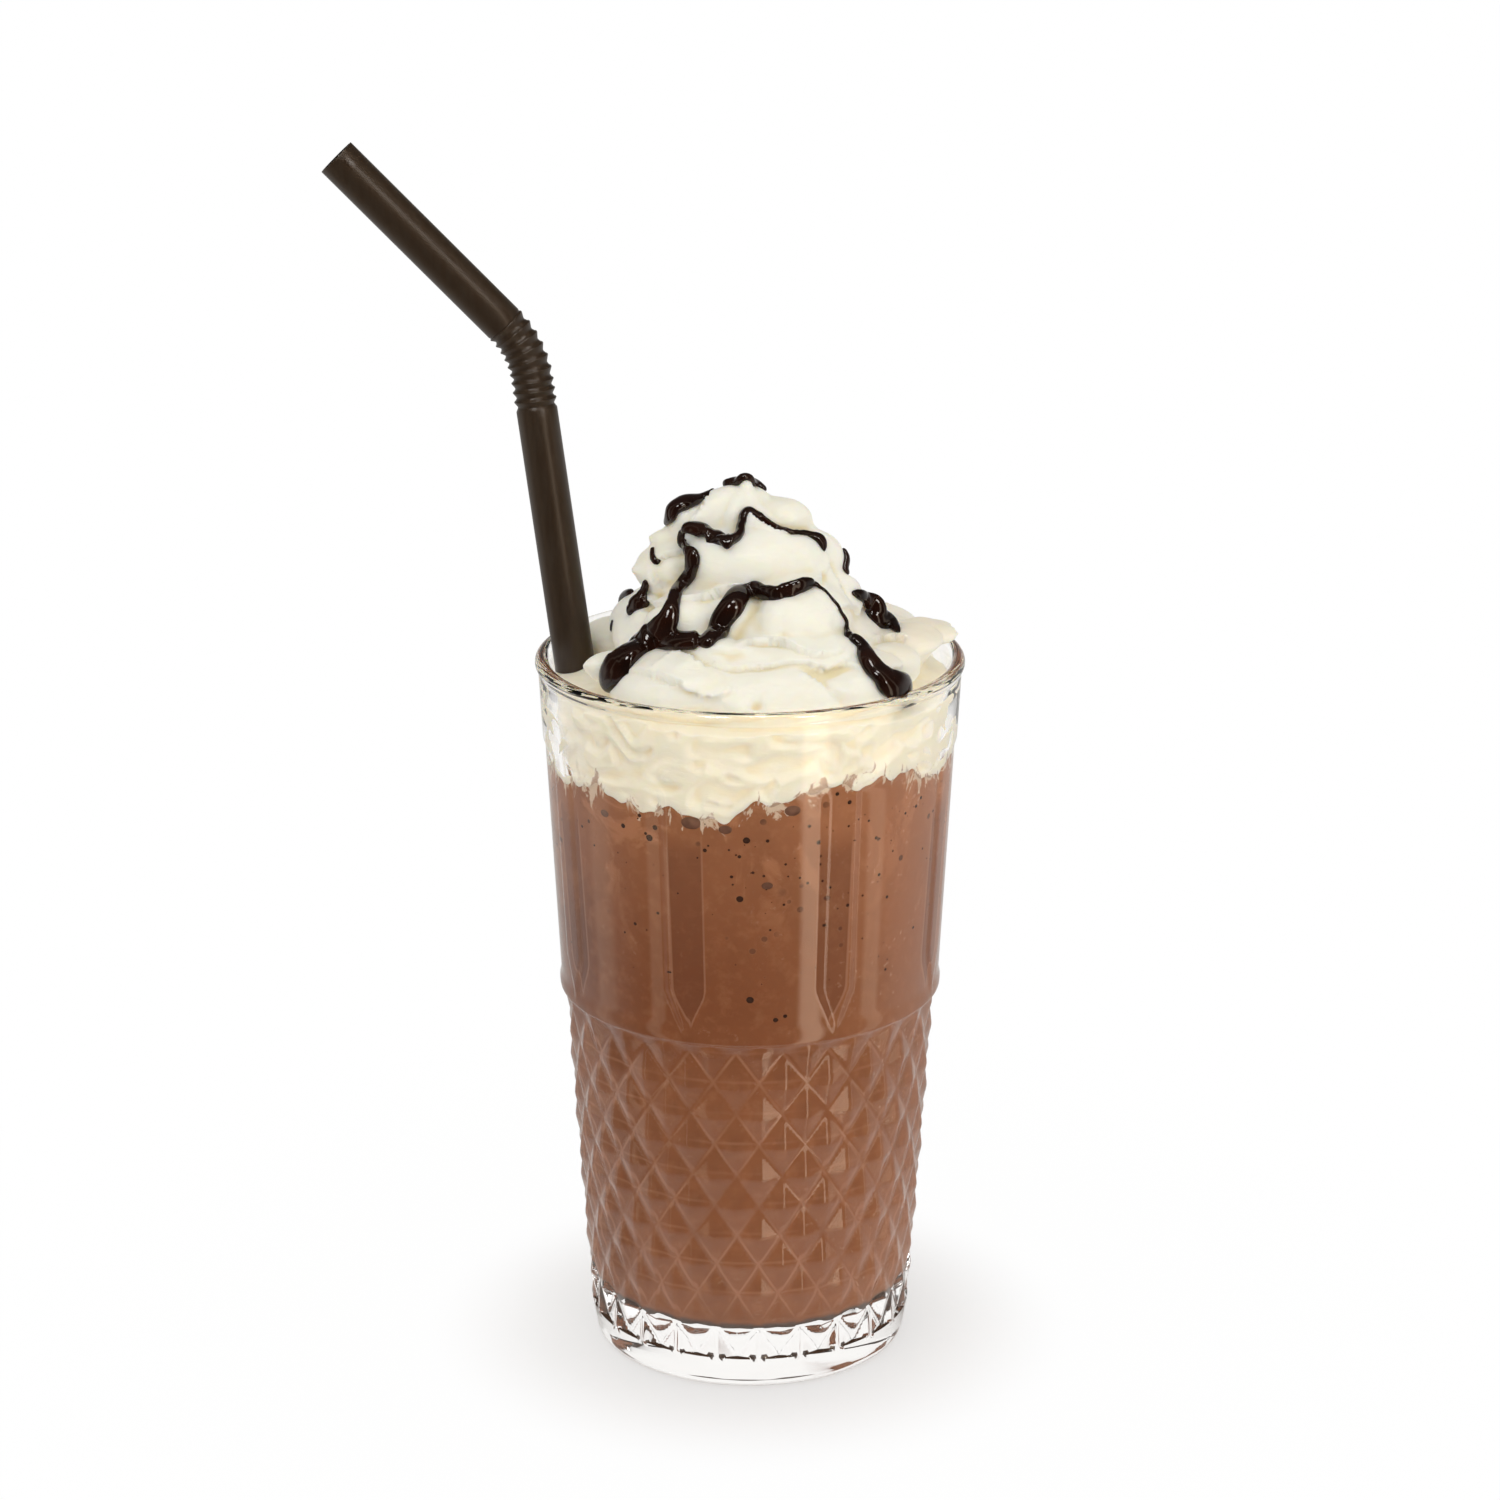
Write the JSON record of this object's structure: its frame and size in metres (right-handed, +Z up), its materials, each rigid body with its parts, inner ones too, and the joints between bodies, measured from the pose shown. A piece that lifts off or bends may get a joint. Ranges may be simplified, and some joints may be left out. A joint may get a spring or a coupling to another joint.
{
  "type": "chocolate milkshake in a glass",
  "caption": "Tall pressed tumbler with raised diamonds and shallow upper panels, filled with chocolate milkshake, topped with swirled whipped cream and holding a bendy straw.",
  "frame": {"origin": "centre of the tumbler's flat base, on its axis", "axes": "+Z up along the tumbler's axis, the straw leans towards -X, -Y is the front"},
  "size_m": [0.1238, 0.0842, 0.2424],
  "materials": {
    "clear_glass": "clear pressed glass, glossy",
    "chocolate_milkshake": null,
    "whipped_cream": null,
    "black_straw": "black, semi-gloss",
    "chocolate_sauce": null
  },
  "bodies": {
    "root": {"glass": "clear_glass", "milkshake": "chocolate_milkshake", "whipped_cream": "whipped_cream", "straw": "black_straw"}
  },
  "joints": []
}
